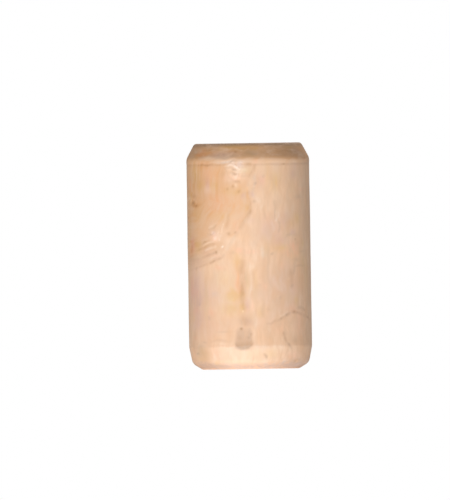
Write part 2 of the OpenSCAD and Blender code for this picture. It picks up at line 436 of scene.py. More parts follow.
def swell(k):
    x, y = math.sin(point_turn[k]) * ring_r[k], -math.cos(point_turn[k]) * ring_r[k]
    place = Vector((x * PER_MM_ACROSS, y * PER_MM_ACROSS, height[k] * PER_MM_UP))
    dimension, lacunarity, octaves = 0.8, 2.1, 3
    return noise.fractal(place, dimension, lacunarity, octaves)


relief += SWELL * on_side * np.array([swell(k) for k in range(len(around))])
print(f"relief {relief.min():.3f} to {relief.max():.3f} mm")

# %% [markdown]
# Now the colour. The jet froze as a tongue of darker, more orange foam between the weld line and the
# lowest ripple. Vertex Paint would do, but the tongue's right edge is known for each height and its
# lower edge for each turn, so one product of two ramps paints it. Its tone is deepest high on the
# left, and it thins out where it runs round to the plain back.

# %% The tongue of the jet
TONGUE_END, TONGUE_FADE = -105, 40
tongue_turn = np.interp(share_up, [0.498, 0.569, 0.625, 0.66, 0.696, 0.736, 0.788, 0.833, 0.884, 0.966],
                        [-26, -18, -10, -6, -1, 2, -0.5, -2, 0, 4])
tongue_foot = np.interp(degrees, [-98, -72, -51.5, -38.5, -27.5, -23.5],
                        [0.406, 0.414, 0.433, 0.453, 0.476, 0.498])
paint_turn = degrees + np.degrees((drift_x - around) / WALL_R)
paint_share = share_up + (drift_z - height) / WALL_H
tongue = ramp(tongue_turn - paint_turn, 4) * ramp(paint_share - tongue_foot, 0.03)
tongue *= ramp(paint_turn - TONGUE_END, TONGUE_FADE) * on_side
tone_round = np.interp(paint_turn, [-72, -58, -40, -23, -19, -4], [0.95, 0.9, 0.72, 0.62, 0.5, 0.42])
tone_up = np.interp(paint_share, [0.42, 0.5, 0.56, 0.66, 0.72, 0.86, 0.91],
                    [0.35, 0.5, 0.65, 0.75, 1.0, 1.1, 0.9])
leave("tan", tongue * (tone_round * tone_up))
print(f"the tongue covers {tongue.mean():.0%} of the skin")

# %% [markdown]
# The rest is a watercolour of soft patches and streaks. Texture Paint would lay them down by eye, but
# an entry in a list can be changed alone. Each tint is named for what it looks like on the foam. A
# patch is a place, in degrees and share of the wall, then its half width and half height in
# millimetres, and its strength. Everything is read through the drift, so no edge is ruled.

# %% Patches
PATCHES = {
    "ochre": [
        (6, -0.045, 1.6, 0.9, 0.25), (38, 0.26, 1.4, 1, 0.3), (3, 0.16, 0.8, 1.2, 0.4),
        (57, 0.5, 0.9, 2, 0.3), (-72, 0.63, 0.6, 3, 0.7), (-70, 0.8, 0.8, 1.2, 1),
        (-60, 0.93, 1.6, 2.4, 1.1), (-53, 0.86, 1.2, 1.2, 0.8), (-58, 0.7, 2, 2, 0.5),
        (-33.5, 0.855, 0.8, 0.9, 0.8), (-14, 0.825, 2.4, 0.7, 0.8), (-2, 0.94, 1.2, 1, 0.5),
        (-57, 0.545, 1.4, 0.8, 1), (-56, 0.52, 1.4, 0.7, 0.6), (-28, 0.7, 2, 0.8, 0.7),
        (-2, 0.735, 0.7, 0.9, 0.5), (-17, 0.35, 0.9, 1.5, 0.4), (-15, 0.27, 1.8, 1, 1.1),
        (-18, 0.2, 2, 1.2, 0.8), (-8, 0.205, 1, 1, 0.9), (-54, -0.03, 1.6, 0.9, 0.5),
        (-58, -0.06, 1.8, 0.6, 0.5), (-36, -0.09, 0.6, 0.4, 0.8), (-68, 0.15, 1, 0.6, 0.4),
        (5, 0.33, 0.5, 3, 0.5), (10, 0.18, 1, 1.3, 0.5), (50, 0.245, 0.7, 0.8, 0.8),
        (67, 0.38, 1, 3, 0.4), (25, 0.87, 1, 1.6, 0.9), (18, 0.91, 0.5, 2.2, 0.5),
        (31, 0.89, 0.4, 1.5, 0.4), (31, 0.522, 1.7, 0.7, 0.7), (53, 0.675, 0.9, 1, 0.8),
        (44, 0.655, 0.8, 0.6, 0.5), (-12, 0.46, 0.9, 1.3, 0.7), (61, 0.545, 0.6, 0.6, 0.8),
        (61, 0.45, 0.8, 1.5, 0.7), (-2, 0.36, 0.5, 1.8, 0.7), (-45, 1.035, 1.5, 0.6, 0.6),
        (8, 1.05, 1.2, 0.4, 0.3), (48, 1.05, 0.8, 0.4, 0.6), (16, 0.52, 0.6, 1.2, 0.4),
        (45, 0.85, 0.9, 1.6, 0.3), (-26, 0.36, 2.4, 2.2, 0.45), (20, -0.04, 1.4, 0.9, 0.5),
        (0, 1.02, 1.2, 0.6, 0.4),
    ],
    "orange": [
        (-15, 0.85, 1.8, 1.2, 0.3), (-12, 0.59, 1.5, 0.7, 0.35), (-16, 0.285, 1, 0.8, 0.3),
        (-30, 0.93, 1.4, 1.6, 0.6), (-27, 0.66, 1.2, 0.8, 0.3), (-64, 0.85, 0.5, 1, 0.7),
        (-1, 0.79, 0.25, 1, 1), (-45, 0.54, 1.2, 0.6, 0.3), (-60, 0.76, 1.6, 0.4, 0.7),
        (-71, 0.52, 0.9, 1.4, 0.25), (-54, 1.02, 1.8, 0.6, 0.5), (51, -0.08, 1.1, 0.4, 0.7),
        (-51, 0.955, 2.6, 0.5, 0.5), (-50, -0.04, 1.6, 1.4, 0.3), (44, 0.48, 1.8, 1, 0.3),
        (55, 0.35, 1.4, 2, 0.4), (-15, 0.74, 1.2, 1.3, 0.4), (-10, 0.885, 1.6, 0.4, 0.3),
    ],
    "rose": [
        (-70, 0.86, 0.5, 1.3, 0.8), (-39, 0.92, 1.8, 1.5, 0.65), (-31, 0.76, 2.2, 2, 0.75),
        (-71, 0.52, 0.8, 1.3, 0.8), (-14, 0.9, 1.8, 0.6, 0.9), (-67, 0.54, 1.2, 1.3, 1),
        (-35, 0.585, 1, 0.8, 0.8), (-32, 0.489, 1, 0.3, 0.5), (-70, 0.32, 0.8, 2, 0.8),
        (-62, 0.29, 1.4, 0.9, 0.5), (-60, 0.19, 1.5, 0.8, 0.5), (-64, 0.05, 0.9, 0.25, 0.6),
        (-38, 0.185, 0.8, 0.8, 0.7), (-10.5, 0.34, 0.5, 1.8, 1), (-28, -0.07, 0.8, 0.8, 0.6),
        (-36, -0.03, 1.4, 0.9, 0.5), (55, 0.12, 1.6, 2.5, 0.5), (30, 0.09, 1.5, 1.2, 0.3),
        (12, 0.88, 0.9, 1.2, 0.6), (39, 0.5, 1.4, 0.9, 0.5), (46, 0.53, 1.4, 1.1, 0.9),
        (50, 0.5, 1, 1, 0.5), (62, 0.83, 1.5, 0.3, 0.5), (-8.5, 0.512, 0.9, 0.5, 1),
        (0, 0.503, 1.5, 0.3, 0.5), (3, 0.22, 0.4, 2.4, 0.4), (7, 0.982, 0.5, 0.4, 0.8),
        (12, 0.32, 1.2, 0.8, 0.3), (42, 0.2, 1.2, 0.5, 0.4), (-55, 0.98, 2.5, 0.5, 0.5),
        (45, -0.05, 2, 0.8, 0.5), (68, 0.99, 0.8, 0.4, 0.5), (-30, 0.42, 1.1, 0.5, 0.8),
        (-12, 0.635, 0.5, 0.9, 0.6), (-24, 0.15, 1.4, 0.8, 0.1), (-34, 0.11, 1.2, 1, 0.3),
        (-50, 1.03, 1.8, 0.6, 1.4), (35, 0.43, 1.2, 1, 0.4),
    ],
    "mauve": [
        (-55, 0.455, 2, 0.9, 0.5), (-67, 0.55, 1.1, 1.3, 0.9), (-50, 0.3, 1.2, 3.5, 0.6),
        (-42, 0.12, 1.8, 3.2, 0.5), (30, 0.56, 1.5, 1, 0.7), (26, 0.62, 3, 2, 0.35),
        (36, 0.3, 4.5, 4, 0.45), (-38, 0.28, 2, 3, 0.4), (-41, 0.84, 1.2, 1.3, 0.4),
        (-44, 0.5, 2, 1, 0.4), (10, 0.15, 4, 2, 0.25), (-20, 0.12, 1.5, 1.5, 0.1),
        (-35, 0.47, 1.2, 0.3, 0.4), (-41.5, 0.86, 0.5, 1.2, 1), (-4, 0.8, 0.4, 0.6, 0.9),
        (-62, 0.3, 2.6, 4, 1), (-54, 0.27, 1, 2.6, 1), (-56, 0.14, 2.6, 2.6, 0.9),
        (-2, 0.22, 0.5, 1.3, 0.8), (25, 0.35, 1.4, 1.3, 0.5), (19, 0.63, 1.8, 2, 0.7),
        (36, 0.67, 1.2, 1.5, 0.7), (45, 0.605, 0.9, 0.5, 0.8), (27, 0.59, 1.2, 1, 0.5),
        (4, 0.81, 0.5, 0.6, 0.9), (12, 0.88, 0.9, 1.2, 0.5), (47, 0.91, 1, 1.2, 0.5),
        (-8, 0.965, 1.1, 0.5, 0.6), (-54, 0.4, 2, 1.2, 0.3), (3, 0.67, 0.7, 0.5, 0.4),
        (-25, 1.025, 2.4, 0.5, 0.9), (58, 1.03, 1, 0.6, 0.6), (50, 0.95, 1.4, 0.8, 0.4),
        (-66, 0.45, 1, 1, 0.5), (-35, 0.61, 0.7, 0.5, 0.6), (0, 0.13, 1, 0.8, 0.5),
    ],
    "ash": [
        (52, 1.035, 1.8, 0.8, 0.35), (-35, -0.05, 1.4, 0.9, 0.15), (-2, 0.94, 1.2, 1, 0.3),
        (3, 1.025, 2.4, 0.8, 0.5), (45, 0.71, 1.6, 1.8, 0.3), (1, 0.3, 1.1, 2.8, 0.35),
        (15, 0.58, 2.2, 1.4, 0.3), (33, 0.38, 1.6, 1.8, 0.35), (-24, 0.12, 1.8, 1.8, 0.3),
        (-56, -0.03, 2.5, 1.5, 0.6), (-8, 0.985, 2, 0.5, 0.5), (-24, 0.3, 3, 5, 0.25),
        (28, 0.25, 4, 4, 0.2), (6, 0.88, 0.4, 1.2, 1), (-24, 0.982, 1.6, 0.3, 1),
        (-10, 0.995, 1.6, 0.25, 0.6), (26, 0.24, 1.4, 0.9, 0.5), (-34, 0.28, 1.1, 0.9, 0.5),
        (-24, 1.008, 2.6, 0.4, 1), (-72, 0.45, 0.5, 1, 0.5), (15, 0.5, 0.7, 1.2, 0.3),
        (54, 0.79, 1, 0.5, 0.4), (5, 0.55, 0.8, 0.8, 0.3), (-33, 0.35, 1.3, 2, 0.3),
        (-2.5, 0.36, 0.45, 1.6, 0.6), (-22, 1.015, 2.6, 0.5, 1), (-60, 0.24, 2.8, 6, 0.2),
        (-45.5, 0.29, 0.8, 3.4, 0.3),
    ],
    "cream": [
        (59, 0.5, 0.9, 2, 0.35), (-1, 0.982, 0.9, 0.25, 0.5), (-20, 1.004, 3, 0.3, 0.3),
        (-31, 0.5, 1.3, 0.9, 0.5), (41, 0.6, 0.9, 0.6, 0.4), (-20, 0.61, 1.6, 1.2, 0.4),
        (-16, 0.69, 0.8, 1.2, 0.4), (-11, 0.96, 2, 1.2, 0.8), (-12, 0.9, 1.7, 0.9, 0.8),
        (-33, 0.585, 1.2, 1, 0.9), (-26, 0.529, 0.5, 0.3, 0.8), (8, 0.78, 0.7, 1, 0.6),
        (12, 0.745, 0.5, 0.5, 0.5), (28, 0.71, 0.5, 0.4, 0.6), (2, 0.425, 0.8, 0.5, 0.6),
        (57, 0.25, 0.9, 1.3, 0.8), (17, 0.09, 0.5, 0.25, 0.5), (36, 0.01, 0.5, 0.3, 0.4),
        (-28, 0.36, 1.6, 3, 0.5), (-12, 0.853, 0.4, 0.6, 0.7), (-34, 0.536, 0.5, 0.2, 0.6),
        (-27, 0.591, 0.5, 0.4, 0.6), (48, 0.98, 1, 0.25, 0.4), (-1.5, 0.668, 0.4, 0.5, 0.8),
        (-35, 0.4, 1.5, 1.2, 0.4), (22, 0.97, 1.5, 0.5, 0.3), (6, 0.48, 0.9, 1, 0.3),
        (-24.4, 0.64, 0.6, 1.2, 0.5), (60, 0.16, 0.6, 0.8, 0.4),
    ],
    # White patches: partly paler foam, mostly painted highlights, glints on ridges and lips.
    "white": [
        (-34, 0.58, 0.45, 0.45, 0.6), (-33, 0.592, 0.35, 0.3, 0.6), (-30.2, 0.607, 0.2, 0.35, 0.6),
        (-29, 0.575, 0.25, 0.25, 0.5), (-26.2, 0.532, 0.22, 0.14, 1), (-24.4, 0.648, 0.15, 0.2, 1),
        (39.2, 0.355, 0.25, 0.2, 1), (27.3, 0.26, 0.25, 0.35, 0.4), (34, 0.168, 0.4, 0.14, 0.5),
        (-12, 0.86, 0.25, 0.3, 0.5), (58, 0.25, 0.4, 0.6, 0.2), (-36, 0.607, 0.35, 0.14, 0.6),
        (-11, 0.96, 1.6, 0.9, 0.4), (-23, 0.985, 1.5, 0.3, 0.4), (-13, 0.905, 1.9, 0.7, 0.35),
        (-4, 0.94, 0.9, 0.9, 0.3), (-30, 0.6, 1, 0.7, 0.25),
    ],
    "taupe": [
        (52, 1.035, 1.8, 0.8, 0.2), (-53, 0.88, 1.5, 2.5, 0.12), (-13, 0.21, 1.8, 1.2, 0.15),
        (-14, 0.275, 1.6, 1, 0.12), (-66, 0.06, 1, 2, 0.5), (8, 0.28, 1, 1.2, 0.25),
        (-60, -0.005, 1.8, 0.6, 0.4), (9, -0.003, 1.3, 0.35, 0.3), (-3, 1.045, 1.8, 0.5, 0.5),
        (46, 0.91, 1.2, 1.2, 0.25), (-67, 0, 1, 1.6, 0.5), (30, 0.93, 2.2, 2.4, 0.15),
        (-7, 0.025, 0.9, 0.5, 1.15), (-55, 0.225, 0.5, 0.4, 0.7), (-57, 0.145, 1.8, 0.4, 0.35),
        (-42, 0.155, 0.5, 0.5, 0.5), (-62, 0.1, 1, 0.5, 0.35), (-48.5, 0.028, 0.7, 0.25, 0.5),
        (-62, 0.02, 0.6, 0.3, 0.4), (-61, -0.03, 0.7, 0.18, 0.9), (-25, 0.08, 1.5, 0.2, 0.4),
        (-60, 0.415, 0.8, 0.2, 0.6), (-5, 0.135, 1.2, 1.2, 1.15), (0, 0.012, 0.6, 0.6, 0.7),
        (-6, -0.01, 1.6, 0.25, 1), (43, 0.385, 0.5, 0.8, 0.7), (43.5, 0.32, 0.35, 0.5, 0.6),
        (55, 0.425, 1.8, 0.2, 0.55), (8.5, 0.33, 0.35, 0.4, 0.3), (29.3, 0.257, 0.4, 0.35, 0.5),
        (18, 0.195, 0.3, 0.3, 0.3), (33, 0.065, 0.45, 0.5, 0.7), (47, 0.03, 1, 0.8, 0.4),
        (15, -0.06, 0.25, 0.4, 0.7), (30, 0.655, 0.3, 0.3, 0.6), (6.5, 0.867, 0.3, 0.25, 0.8),
        (5, 0.772, 0.3, 0.25, 0.7), (21.5, 0.487, 0.35, 0.25, 0.7), (40, 0.59, 0.5, 0.2, 0.7),
        (58, 0.503, 0.8, 0.2, 0.6), (50, 0.46, 1, 0.3, 0.4), (14, 0.91, 0.3, 0.4, 0.4),
        (54, 0.79, 1, 0.4, 0.4), (0, 1.028, 1.4, 0.6, 0.55), (-18.7, 0.6, 0.4, 0.3, 0.5),
        (-15, 0.5, 0.5, 0.3, 0.4), (-24, 0.915, 0.8, 0.9, 0.4), (-8.5, 0.826, 0.3, 0.25, 0.4),
        (-60, 0.25, 3, 5, 0.45), (-13, 0.94, 0.4, 0.2, 0.6), (-13, 0.924, 0.4, 0.18, 0.5),
        (-13.1, 0.61, 0.3, 0.25, 0.4), (50, 0.59, 1.2, 0.4, 0.3), (58, -0.02, 1.2, 1, 0.4),
        (-55, -0.03, 1.6, 1.2, 0.3),
    ],
    "brown": [
        (-15, 1.05, 2.6, 0.5, 0.15), (-56, 0.54, 1.6, 0.9, 0.15), (-67, 0.475, 1.8, 0.8, 0.5),
        (-62, 0.9, 1.2, 2, 0.25), (-64, 0.768, 0.6, 0.45, 1), (-61, 0.757, 1.3, 0.25, 0.7),
        (-63, 0.8, 0.9, 0.5, 0.5), (-15, 0.853, 0.22, 0.22, 0.8), (-20, 0.838, 0.3, 0.25, 0.15),
        (-46, 0.558, 0.7, 0.18, 0.6), (49, 0.566, 0.22, 0.12, 1), (2, 0.72, 0.4, 0.4, 0.2),
        (35, 0.963, 0.8, 0.13, 0.4), (-8, 0.093, 0.28, 0.22, 0.7), (-33, 0.509, 0.28, 0.25, 0.9),
        (-12, 1.031, 0.35, 0.18, 0.7), (-36, 0.99, 1.6, 0.5, 0.2), (34, 1.025, 1.8, 0.6, 0.3),
        (-52, -0.02, 1.2, 1.2, 0.1), (-69, 0.52, 0.6, 1, 0.35), (-10, 0.045, 0.5, 0.4, 0.2),
    ],
}
for tint, patches in PATCHES.items():
    for turn_at, share_at, wide, high, amount in patches:
        leave(tint, amount * spot((turn_at, share_at), wide, high, drift_x, drift_z) * on_side)
print("patches:", {tint: len(patches) for tint, patches in PATCHES.items()})

# %% [markdown]
# Streaks follow a route, as the creases do, and are drawn thin. Rows of small patches would look
# dotted. The longest are the orange and brown ones in the furrow over the gate, where the last and
# coolest melt was pushed in.

# %% Streaks
STREAKS = {
    "orange": [
        ([(-12, 0.5), (-11.5, 0.44), (-10.4, 0.385), (-10.5, 0.32), (-9, 0.28)], 0.5, 0.5),
        ([(-1, 0.85), (-0.5, 0.8), (0, 0.75)], 0.3, 0.45),
    ],
    "brown": [
        ([(-6.5, 0.47), (-7.2, 0.42), (-6.5, 0.37), (-7.2, 0.31), (-6.5, 0.25), (-5.5, 0.2)], 0.55, 0.75),
        ([(-3, 0.972), (2.4, 0.972), (5.5, 0.964), (5.9, 0.954), (3.1, 0.919), (0.4, 0.893)], 0.3, 0.6),
        ([(-60, 0.97), (-44, 0.967), (-34, 0.969), (-26, 0.965)], 0.2, 0.4),
        ([(2, 0.735), (0.6, 0.71), (-4.6, 0.655), (-9, 0.62)], 0.35, 0.4),
        ([(-56, 0.515), (-44, 0.531), (-35, 0.551)], 0.25, 0.2),
        ([(-52, 1.043), (-30, 1.048), (-12, 1.045)], 0.2, 0.4),
        ([(12, 1.03), (34, 1.035), (56, 1.03)], 0.25, 0.4),
        ([(-9, 0.91), (-4, 0.9), (0, 0.905)], 0.2, 0.25),
    ],
    "taupe": [
        ([(-62, 1.058), (-34, 1.06), (-8, 1.064)], 0.2, 0.4),
        ([(16, 1.048), (36, 1.05), (58, 1.045)], 0.2, 0.5),
        ([(-15.5, 0.005), (-9.2, -0.013), (1.6, -0.006)], 0.35, 1),
        ([(1.5, 0.09), (2, 0.03)], 0.3, 0.2),
        # The next four taupe streaks lie beside the wrinkles under the head: painted shade beside their
        # ridges.
        ([(-21, 0.964), (-16, 0.979), (-13.3, 0.987), (-10, 0.982)], 0.22, 0.6),
        ([(-15, 0.93), (-12, 0.923), (-10, 0.921)], 0.2, 0.7),
        ([(-27, 0.976), (-19, 0.976), (-14, 0.97)], 0.18, 0.4),
        ([(-15, 0.88), (-10, 0.877), (-6, 0.874)], 0.2, 0.6),
        ([(-9, 0.62), (-16, 0.565), (-21, 0.515)], 0.3, 0.3),
        ([(18, 0.56), (18, 0.47), (17, 0.38), (22, 0.31)], 0.4, 0.4),
        ([(14, 0.5), (13, 0.4), (14, 0.33)], 0.5, 0.3),
        ([(25.5, 0.78), (25.5, 0.72), (25, 0.67)], 0.25, 0.5),
        ([(15, 0.73), (15.5, 0.67)], 0.25, 0.3),
        ([(50, 0.211), (57.6, 0.203), (64, 0.186)], 0.25, 0.8),
        ([(48, 0.46), (46.7, 0.4), (43, 0.37), (43, 0.31)], 0.35, 0.5),
        ([(-42, 0.617), (-36, 0.632), (-31, 0.655)], 0.2, 0.5),
        ([(-44, 0.6), (-38, 0.603), (-34, 0.618)], 0.18, 0.5),
        ([(32.5, 0.066), (34.6, 0.035), (43, -0.016)], 0.25, 0.5),
        ([(-26, 0.957), (-21, 0.936), (-19.3, 0.908), (-20, 0.87)], 0.35, 0.4),
        ([(-48.8, 0.478), (-38.8, 0.498), (-32.5, 0.514)], 0.2, 0.25),
        ([(12, 0.24), (12, 0.15)], 0.35, 0.3),
        ([(-42, 0.028), (-28, 0.032), (-18, 0.03)], 0.2, 0.35),
        ([(-18, 0.73), (-19.6, 0.692), (-20, 0.66), (-22, 0.62)], 0.3, 0.5),
        ([(36, 0.57), (40, 0.592), (46, 0.59)], 0.25, 0.4),
        ([(28, 0.68), (30, 0.64), (29, 0.6)], 0.25, 0.4),
    ],
    "cream": [
        ([(-7, 0.6), (-14.3, 0.574), (-18.9, 0.545), (-22, 0.513)], 0.7, 1.1),
        ([(-41, 0.625), (-34.7, 0.649), (-30, 0.67)], 0.25, 0.7),
        ([(-26.5, 0.605), (-24.4, 0.648), (-22.3, 0.68), (-21.5, 0.72)], 0.3, 0.7),
        # These three cream streaks run along ripple lips: paler foam and a painted highlight on the lips.
        ([(-44, 0.464), (-36, 0.477), (-28, 0.5)], 0.25, 0.5),
        ([(-48.6, 0.539), (-41, 0.552), (-35, 0.563), (-30, 0.57)], 0.25, 0.7),
        ([(-46, 0.51), (-40, 0.522), (-33, 0.54)], 0.25, 0.8),
        ([(1, 0.45), (1.2, 0.36), (1, 0.28), (3, 0.2)], 0.45, 0.8),
        ([(3.4, 0.22), (4.5, 0.17), (4.5, 0.1), (4.5, 0.05)], 0.4, 0.7),
        ([(12.5, 0.56), (12.5, 0.47)], 0.35, 0.7),
        ([(31, 0.705), (27.5, 0.675), (26, 0.66)], 0.3, 0.7),
        ([(22, 0.66), (25, 0.61)], 0.3, 0.5),
        ([(22, 0.38), (28.2, 0.306), (31.5, 0.29)], 0.35, 0.5),
        ([(29, 0.158), (35, 0.175), (38, 0.182)], 0.25, 0.7),
        ([(-44, 0.02), (-30, 0.018), (-17, 0.02)], 0.3, 0.5),
        ([(-16, 0.6), (-12, 0.63), (-9, 0.66)], 0.3, 0.6),
        ([(-20, 0.62), (-17, 0.65), (-15, 0.69)], 0.3, 0.5),
    ],
    # White streaks: painted highlights along the crest, the wrinkles and the ripples' lips, on paler foam.
    "white": [
        ([(-24, 0.958), (-14.5, 0.962), (-11.5, 0.957), (-8.5, 0.947), (-6, 0.94)], 0.17, 1),
        ([(-29, 0.982), (-20, 0.984), (-16, 0.978)], 0.2, 0.5),
        ([(-17, 0.968), (-12, 0.975), (-8, 0.97)], 0.15, 0.5),
        ([(-18, 0.9), (-13, 0.893), (-9, 0.884)], 0.25, 0.4),
        ([(-7, 0.985), (-4, 0.975)], 0.15, 0.5),
        ([(6.5, 0.9), (5.5, 0.84)], 0.3, 0.3),
        ([(-19, 0.945), (-16, 0.94)], 0.15, 0.5),
        ([(-20.5, 0.972), (-17, 0.985), (-13.3, 0.997)], 0.16, 0.6),
        ([(-11, 0.974), (-6, 0.966), (-3, 0.95)], 0.18, 0.5),
        ([(-9, 0.93), (-5, 0.922)], 0.18, 0.5),
        ([(-17, 0.93), (-13, 0.915)], 0.18, 0.6),
        ([(-6, 0.95), (-4, 0.935)], 0.2, 0.5),
        ([(-5.5, 0.19), (-7, 0.187)], 0.15, 0.6),
        ([(-12, 0.932), (-8, 0.925)], 0.14, 0.5),
        ([(-48.6, 0.538), (-41, 0.551), (-34, 0.563)], 0.2, 0.4),
        ([(-45, 0.511), (-40, 0.522), (-33, 0.541)], 0.2, 0.4),
        ([(-42, 0.467), (-36, 0.477), (-28, 0.5)], 0.18, 0.3),
        ([(-41, 0.625), (-34.7, 0.649)], 0.2, 0.35),
        ([(-38.5, 0.605), (-36, 0.615), (-33, 0.61)], 0.2, 0.7),
        ([(-27, 0.6), (-24.4, 0.648)], 0.2, 0.35),
    ],
    "ash": [
        ([(7, 0.91), (6.5, 0.87), (5, 0.82), (4.5, 0.785)], 0.35, 0.6),
    ],
    "ochre": [
        ([(-46, 0.41), (-46, 0.3), (-46, 0.12)], 0.4, 0.35),
        ([(-19, 0.33), (-15, 0.285), (-10.8, 0.265)], 0.5, 0.8),
        ([(-32, 1.052), (-18, 1.055), (-4, 1.055), (12, 1.058)], 0.5, 1.3),
    ],
}
for tint, routes in STREAKS.items():
    for route, half_width, amount in routes:
        gap, _, share = from_route(route, drift_x, drift_z)
        leave(tint, amount * fade(share) * bell(gap, half_width))
print("streaks:", {tint: len(routes) for tint, routes in STREAKS.items()})

# %% [markdown]
# Where the wrinkles are, the melt was stretched thin and has bleached. The tongue is one broad wash
# of tan, so it is simpler to wipe it out again there than to paint around those spots.

# %% Bleached wrinkles
BLEACH = 0.8
BLEACHED = [  # turn, share, half width and half height
    (-11, 0.95, 2, 1.7), (-33.5, 0.59, 1.2, 0.7), (-24, 0.984, 1.7, 0.35), (-12, 0.895, 1.7, 0.7),
    (-27, 0.61, 1.2, 1.5), (-22, 0.565, 0.9, 0.9), (-41, 0.84, 1.2, 1),
]
for turn_at, share_at, wide, high in BLEACHED:
    masks["tan"] *= 1 - BLEACH * spot((turn_at, share_at), wide, high, drift_x, drift_z)
print("bleached spots:", len(BLEACHED))

# %% [markdown]
# The head bevel has browned with handling, and so has the wall just below it. Their tan is partly
# painted shade as well, because the bevel faces up, away from the low lamp. The rim is painted greyer
# and darker, a painted shade along the edge. A second material on those faces would end at a hard
# line. A ramp on the height ends softly, and its strength can change on the way round.

# %% Browned head with painted shade
HEAD_EDGE, BELOW_HEAD, EDGE_SOFT = 0.995, 0.985, 0.02
# Tan on the head bevel: partly its own browner tone, partly painted shade.
head_tan_and_shade = np.interp(paint_turn, [-60, -48, -36, -22, -8, 0], [0.87, 0.82, 0.6, 0.8, 1.0, 1.0])
leave("tan", head_tan_and_shade * ramp(paint_share - HEAD_EDGE, EDGE_SOFT) * on_side)
leave("tan", 0.3 * bell(paint_share - BELOW_HEAD, EDGE_SOFT / 2) * on_side)
# Taupe and ash on the rim are painted shade along the head's edge.
RIM_SHADE_DROP, RIM_SHADE_SOFT = 0.55, 0.8
rim_shade = ramp(height - LENGTH + RIM_SHADE_DROP, RIM_SHADE_SOFT) * on_side
leave("taupe", 1.2 * rim_shade)
leave("ash", 0.8 * rim_shade)
print(f"the head is tanned by up to {masks['tan'].max():.2f}")

# %% [markdown]
# The foot below the taper is painted paler than the wall and creamy in the middle: partly a paler
# tone of its own, partly a painted highlight, the low lamp's sheen on the taper. It is tanned on the
# far left, and greyer and darker where it meets the table, a painted contact shade that reaches higher
# towards both sides. A plain gradient up the foot would look like a painted band, so small tables set
# each tint on the way round.

# %% Creamy foot with painted highlight and contact shade
FOOT_EDGE, FAR_LEFT = 0.002, -42
below_taper = ramp(FOOT_EDGE - paint_share, EDGE_SOFT)
# Cream on the foot: partly paler foam, partly painted highlight, strongest in front.
foot_cream_and_highlight = np.interp(paint_turn, [-70, -50, -35, -22, 12, 35, 60], [0.1, 0.45, 0.7, 1.25, 1.35, 0.65, 0.15])
leave("cream", foot_cream_and_highlight * below_taper * on_side)
leave("tan", 0.3 * ramp(FAR_LEFT - paint_turn, 10) * below_taper * on_side)
# Painted contact shade: greyer and darker where the foot meets the table.
CONTACT_SHADE_MIDDLE, CONTACT_SHADE_SOFT = -5, 1.6
contact_shade_top = np.interp(np.abs(paint_turn - CONTACT_SHADE_MIDDLE), [0, 15, 30, 50], [0.7, 0.75, 0.95, 1.4])
contact_shade = ramp(contact_shade_top - height, CONTACT_SHADE_SOFT) * on_side
for tint, amount in {"ash": 1, "taupe": 1, "mauve": 0.2, "cream": 0.7}.items():
    leave(tint, amount * contact_shade)
print(f"grime reaches {contact_shade_top.min():.1f} to {contact_shade_top.max():.1f} mm up the foot")

# %% [markdown]
# Last comes the marbling itself, strongest on the right and on the head. A Noise Texture node could
# be stretched one way only. Here the noise is worked out on the points, in coordinates that follow
# the flow: up the wall in most places, along the weld line and the lowest ripple inside the tongue,
# and round the head. It also breaks up all the masks.

# %% Marbling along the flow
TONGUE_REACH, FLOW_LENGTH = 22, 30
flow_gap, _, flow_share = from_route(WELD_LINE + RIPPLES[0][1:], drift_x, drift_z, reach=TONGUE_REACH)
on_head = share_up > 0.99
in_tongue = (tongue > 0.5) & (flow_gap < FAR) & ~on_head
across = np.where(in_tongue, flow_gap, drift_x)
along = np.where(in_tongue, FLOW_LENGTH * flow_share, drift_z)
SPREAD = 2.2


def marble(seed, width, length, octaves=3):
    """Streaky noise, width mm across the flow and length mm along it, evened out to about -1 to 1."""
    width_here, length_here = np.where(on_head, length, width), np.where(on_head, width, length)
    xs = ring_r * np.sin(across / WALL_R) / width_here
    ys = -ring_r * np.cos(across / WALL_R) / width_here
    dimension, lacunarity = 0.7, 2.0
    values = np.array([noise.fractal(Vector((x, y, z + seed)), dimension, lacunarity, octaves)
                       for x, y, z in zip(xs, ys, along / length_here)])
    return values / (SPREAD * values.std())


broad = marble(seed=3, width=2.2, length=6)
fine = marble(seed=40, width=0.7, length=2.6, octaves=4)
hue = marble(seed=90, width=1.5, length=3)
HEAD_GRAIN, RIGHT_GRAIN, RIGHT_FROM, MOST = 1.8, 0.35, -5, 1.2
fine *= np.where(on_head, HEAD_GRAIN, 1 + RIGHT_GRAIN * ramp(degrees - RIGHT_FROM, 10))
masks = {tint: np.clip(mask * (1 + 0.3 * broad + 0.4 * fine), 0, MOST) for tint, mask in masks.items()}
masks["pale_vein"] = np.clip(0.5 + 0.5 * (0.6 * broad + 0.8 * fine), 0, 1)
masks["warm_vein"] = np.clip(0.5 + 0.6 * hue, 0, 1)
print("masks:", sorted(masks))

# %% [markdown]
# The skin is now pushed in and out by the relief and joined up: quads between the rings, and a fan
# of triangles to one point in the middle of each end face. A Displace modifier would want a texture
# to push from, and the relief is here as numbers already. The masks travel along as attributes.

